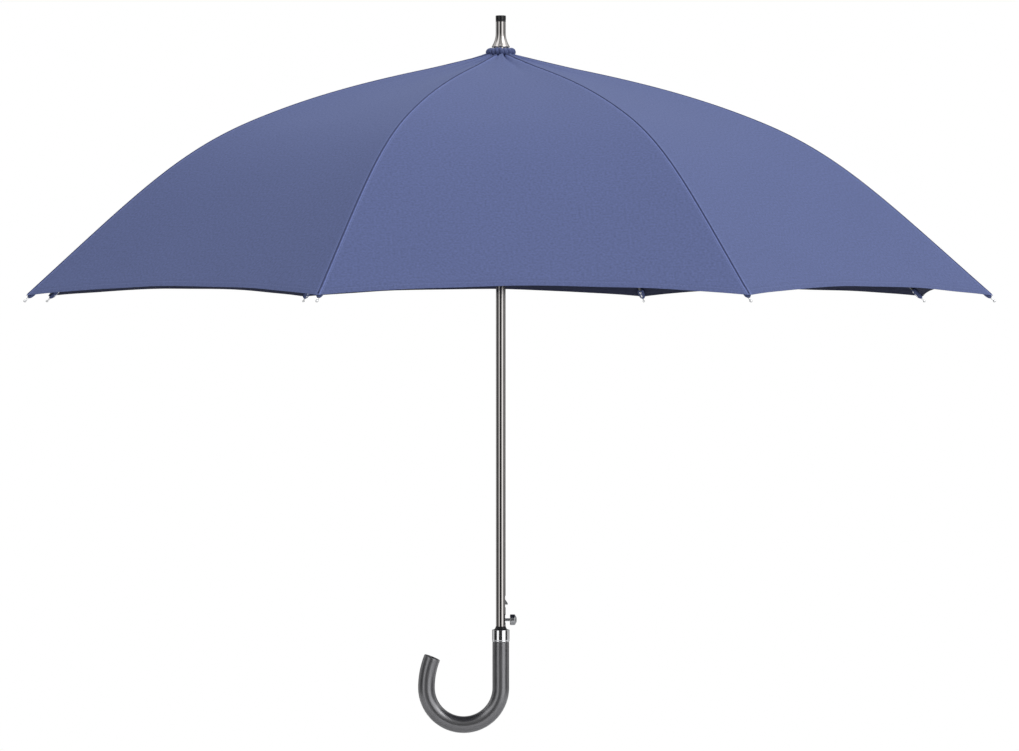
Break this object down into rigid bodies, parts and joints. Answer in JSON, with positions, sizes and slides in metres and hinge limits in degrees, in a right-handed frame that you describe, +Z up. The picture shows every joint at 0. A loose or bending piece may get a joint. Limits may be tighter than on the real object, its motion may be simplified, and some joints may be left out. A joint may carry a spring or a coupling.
{
  "type": "stick umbrella",
  "caption": "Open stick umbrella with a ribbed fabric canopy that folds down, a sliding runner, a push-button catch and a crook handle.",
  "frame": {"origin": "middle of the straight hand grip, on the shaft's axis", "axes": "+Z up the shaft towards the ferrule, crook towards -X, release button towards +X"},
  "size_m": [0.9686, 0.9686, 0.7322],
  "materials": {
    "dark_chrome": "polished",
    "bright_chrome": "polished",
    "steel": "satin",
    "rib_steel": "satin",
    "black_plastic": "satin",
    "soft_grey_grip": "satin",
    "navy_fabric": "matte"
  },
  "bodies": {
    "stick": {"shaft": "dark_chrome", "ferrule": "dark_chrome", "ferrule_cap": "black_plastic", "crown_rosette": "navy_fabric", "top_notch": "black_plastic", "top_notch_wire": "steel", "runner_stop": "black_plastic", "spring_seat": "steel", "handle": "soft_grey_grip", "handle_collar": "bright_chrome", "handle_end_cap": "black_plastic", "catch_pin": "steel"},
    "runner": {"runner": "black_plastic", "runner_wire": "steel", "drive_pin": "steel", "opening_spring": "steel"},
    "catch": {"catch_lever": "steel", "release_button": "dark_chrome"},
    "rib_1": {"rib_inner_1": "rib_steel"},
    "rib_end_1": {"rib_outer_1": "rib_steel", "rib_tip_1": "bright_chrome", "canopy_panel_1": "navy_fabric"},
    "stay_1": {"stretcher_1": "rib_steel"},
    "rib_2": {"rib_inner_2": "rib_steel"},
    "rib_end_2": {"rib_outer_2": "rib_steel", "rib_tip_2": "bright_chrome", "canopy_panel_2": "navy_fabric"},
    "stay_2": {"stretcher_2": "rib_steel"},
    "rib_3": {"rib_inner_3": "rib_steel"},
    "rib_end_3": {"rib_outer_3": "rib_steel", "rib_tip_3": "bright_chrome", "canopy_panel_3": "navy_fabric"},
    "stay_3": {"stretcher_3": "rib_steel"},
    "rib_4": {"rib_inner_4": "rib_steel"},
    "rib_end_4": {"rib_outer_4": "rib_steel", "rib_tip_4": "bright_chrome", "canopy_panel_4": "navy_fabric"},
    "stay_4": {"stretcher_4": "rib_steel"},
    "rib_5": {"rib_inner_5": "rib_steel"},
    "rib_end_5": {"rib_outer_5": "rib_steel", "rib_tip_5": "bright_chrome", "canopy_panel_5": "navy_fabric", "tie_strap": "navy_fabric"},
    "stay_5": {"stretcher_5": "rib_steel"},
    "rib_6": {"rib_inner_6": "rib_steel"},
    "rib_end_6": {"rib_outer_6": "rib_steel", "rib_tip_6": "bright_chrome", "canopy_panel_6": "navy_fabric"},
    "stay_6": {"stretcher_6": "rib_steel"},
    "rib_7": {"rib_inner_7": "rib_steel"},
    "rib_end_7": {"rib_outer_7": "rib_steel", "rib_tip_7": "bright_chrome", "canopy_panel_7": "navy_fabric"},
    "stay_7": {"stretcher_7": "rib_steel"},
    "rib_8": {"rib_inner_8": "rib_steel"},
    "rib_end_8": {"rib_outer_8": "rib_steel", "rib_tip_8": "bright_chrome", "canopy_panel_8": "navy_fabric"},
    "stay_8": {"stretcher_8": "rib_steel"}
  },
  "joints": [
    {"name": "runner_slide", "type": "slide", "parent": "stick", "child": "runner", "axis": [0, 0, 1], "range_m": [-0.39915, 0], "stiffness_N_per_m": 40, "springref_m": 0.3, "deforming": ["opening_spring", "canopy_panel_1", "canopy_panel_2", "canopy_panel_3", "canopy_panel_4", "canopy_panel_5", "canopy_panel_6", "canopy_panel_7", "canopy_panel_8", "tie_strap"]},
    {"name": "button_press", "type": "hinge", "parent": "stick", "child": "catch", "pos_m": [0, 0, 0.029], "axis": [0, 1, 0], "range_deg": [-7, 0], "stiffness_Nm_per_rad": 0.35, "springref_deg": 20.05},
    {"name": "rib_fold_1", "type": "hinge", "parent": "stick", "child": "rib_1", "pos_m": [-0.0032, -0.00947, 0.616], "axis": [0.9474, -0.32, 0], "range_deg": [-0.05, 72.65]},
    {"name": "rib_flex_1", "type": "hinge", "parent": "rib_1", "child": "rib_end_1", "pos_m": [-0.08637, -0.25577, 0.54683], "axis": [0.9474, -0.32, 0], "range_deg": [-18.72, 0.05]},
    {"name": "stay_fold_1", "type": "hinge", "parent": "rib_1", "child": "stay_1", "pos_m": [-0.08637, -0.25577, 0.54683], "axis": [0.9474, -0.32, 0], "range_deg": [-145.25, 0.05]},
    {"name": "rib_fold_2", "type": "hinge", "parent": "stick", "child": "rib_2", "pos_m": [0.00444, -0.00896, 0.616], "axis": [0.8962, 0.4437, 0], "range_deg": [-0.05, 72.65]},
    {"name": "rib_flex_2", "type": "hinge", "parent": "rib_2", "child": "rib_end_2", "pos_m": [0.11978, -0.24193, 0.54683], "axis": [0.8962, 0.4437, 0], "range_deg": [-18.72, 0.05]},
    {"name": "stay_fold_2", "type": "hinge", "parent": "rib_2", "child": "stay_2", "pos_m": [0.11978, -0.24193, 0.54683], "axis": [0.8962, 0.4437, 0], "range_deg": [-145.25, 0.05]},
    {"name": "rib_fold_3", "type": "hinge", "parent": "stick", "child": "rib_3", "pos_m": [0.00947, -0.0032, 0.616], "axis": [0.32, 0.9474, 0], "range_deg": [-0.05, 72.65]},
    {"name": "rib_flex_3", "type": "hinge", "parent": "rib_3", "child": "rib_end_3", "pos_m": [0.25577, -0.08637, 0.54683], "axis": [0.32, 0.9474, 0], "range_deg": [-18.72, 0.05]},
    {"name": "stay_fold_3", "type": "hinge", "parent": "rib_3", "child": "stay_3", "pos_m": [0.25577, -0.08637, 0.54683], "axis": [0.32, 0.9474, 0], "range_deg": [-145.25, 0.05]},
    {"name": "rib_fold_4", "type": "hinge", "parent": "stick", "child": "rib_4", "pos_m": [0.00896, 0.00444, 0.616], "axis": [-0.4437, 0.8962, 0], "range_deg": [-0.05, 72.65]},
    {"name": "rib_flex_4", "type": "hinge", "parent": "rib_4", "child": "rib_end_4", "pos_m": [0.24193, 0.11978, 0.54683], "axis": [-0.4437, 0.8962, 0], "range_deg": [-18.72, 0.05]},
    {"name": "stay_fold_4", "type": "hinge", "parent": "rib_4", "child": "stay_4", "pos_m": [0.24193, 0.11978, 0.54683], "axis": [-0.4437, 0.8962, 0], "range_deg": [-145.25, 0.05]},
    {"name": "rib_fold_5", "type": "hinge", "parent": "stick", "child": "rib_5", "pos_m": [0.0032, 0.00947, 0.616], "axis": [-0.9474, 0.32, 0], "range_deg": [-0.05, 72.65]},
    {"name": "rib_flex_5", "type": "hinge", "parent": "rib_5", "child": "rib_end_5", "pos_m": [0.08637, 0.25577, 0.54683], "axis": [-0.9474, 0.32, 0], "range_deg": [-18.72, 0.05]},
    {"name": "stay_fold_5", "type": "hinge", "parent": "rib_5", "child": "stay_5", "pos_m": [0.08637, 0.25577, 0.54683], "axis": [-0.9474, 0.32, 0], "range_deg": [-145.25, 0.05]},
    {"name": "rib_fold_6", "type": "hinge", "parent": "stick", "child": "rib_6", "pos_m": [-0.00444, 0.00896, 0.616], "axis": [-0.8962, -0.4437, 0], "range_deg": [-0.05, 72.65]},
    {"name": "rib_flex_6", "type": "hinge", "parent": "rib_6", "child": "rib_end_6", "pos_m": [-0.11978, 0.24193, 0.54683], "axis": [-0.8962, -0.4437, 0], "range_deg": [-18.72, 0.05]},
    {"name": "stay_fold_6", "type": "hinge", "parent": "rib_6", "child": "stay_6", "pos_m": [-0.11978, 0.24193, 0.54683], "axis": [-0.8962, -0.4437, 0], "range_deg": [-145.25, 0.05]},
    {"name": "rib_fold_7", "type": "hinge", "parent": "stick", "child": "rib_7", "pos_m": [-0.00947, 0.0032, 0.616], "axis": [-0.32, -0.9474, 0], "range_deg": [-0.05, 72.65]},
    {"name": "rib_flex_7", "type": "hinge", "parent": "rib_7", "child": "rib_end_7", "pos_m": [-0.25577, 0.08637, 0.54683], "axis": [-0.32, -0.9474, 0], "range_deg": [-18.72, 0.05]},
    {"name": "stay_fold_7", "type": "hinge", "parent": "rib_7", "child": "stay_7", "pos_m": [-0.25577, 0.08637, 0.54683], "axis": [-0.32, -0.9474, 0], "range_deg": [-145.25, 0.05]},
    {"name": "rib_fold_8", "type": "hinge", "parent": "stick", "child": "rib_8", "pos_m": [-0.00896, -0.00444, 0.616], "axis": [0.4437, -0.8962, 0], "range_deg": [-0.05, 72.65]},
    {"name": "rib_flex_8", "type": "hinge", "parent": "rib_8", "child": "rib_end_8", "pos_m": [-0.24193, -0.11978, 0.54683], "axis": [0.4437, -0.8962, 0], "range_deg": [-18.72, 0.05]},
    {"name": "stay_fold_8", "type": "hinge", "parent": "rib_8", "child": "stay_8", "pos_m": [-0.24193, -0.11978, 0.54683], "axis": [0.4437, -0.8962, 0], "range_deg": [-145.25, 0.05]}
  ],
  "couplings": [
    {"joint": "rib_fold_1", "follows": "runner_slide", "rad_per_m": -3.1745},
    {"joint": "rib_flex_1", "follows": "runner_slide", "rad_per_m": 0.81637},
    {"joint": "stay_fold_1", "follows": "runner_slide", "rad_per_m": 6.349},
    {"joint": "rib_fold_2", "follows": "runner_slide", "rad_per_m": -3.1745},
    {"joint": "rib_flex_2", "follows": "runner_slide", "rad_per_m": 0.81637},
    {"joint": "stay_fold_2", "follows": "runner_slide", "rad_per_m": 6.349},
    {"joint": "rib_fold_3", "follows": "runner_slide", "rad_per_m": -3.1745},
    {"joint": "rib_flex_3", "follows": "runner_slide", "rad_per_m": 0.81637},
    {"joint": "stay_fold_3", "follows": "runner_slide", "rad_per_m": 6.349},
    {"joint": "rib_fold_4", "follows": "runner_slide", "rad_per_m": -3.1745},
    {"joint": "rib_flex_4", "follows": "runner_slide", "rad_per_m": 0.81637},
    {"joint": "stay_fold_4", "follows": "runner_slide", "rad_per_m": 6.349},
    {"joint": "rib_fold_5", "follows": "runner_slide", "rad_per_m": -3.1745},
    {"joint": "rib_flex_5", "follows": "runner_slide", "rad_per_m": 0.81637},
    {"joint": "stay_fold_5", "follows": "runner_slide", "rad_per_m": 6.349},
    {"joint": "rib_fold_6", "follows": "runner_slide", "rad_per_m": -3.1745},
    {"joint": "rib_flex_6", "follows": "runner_slide", "rad_per_m": 0.81637},
    {"joint": "stay_fold_6", "follows": "runner_slide", "rad_per_m": 6.349},
    {"joint": "rib_fold_7", "follows": "runner_slide", "rad_per_m": -3.1745},
    {"joint": "rib_flex_7", "follows": "runner_slide", "rad_per_m": 0.81637},
    {"joint": "stay_fold_7", "follows": "runner_slide", "rad_per_m": 6.349},
    {"joint": "rib_fold_8", "follows": "runner_slide", "rad_per_m": -3.1745},
    {"joint": "rib_flex_8", "follows": "runner_slide", "rad_per_m": 0.81637},
    {"joint": "stay_fold_8", "follows": "runner_slide", "rad_per_m": 6.349}
  ]
}
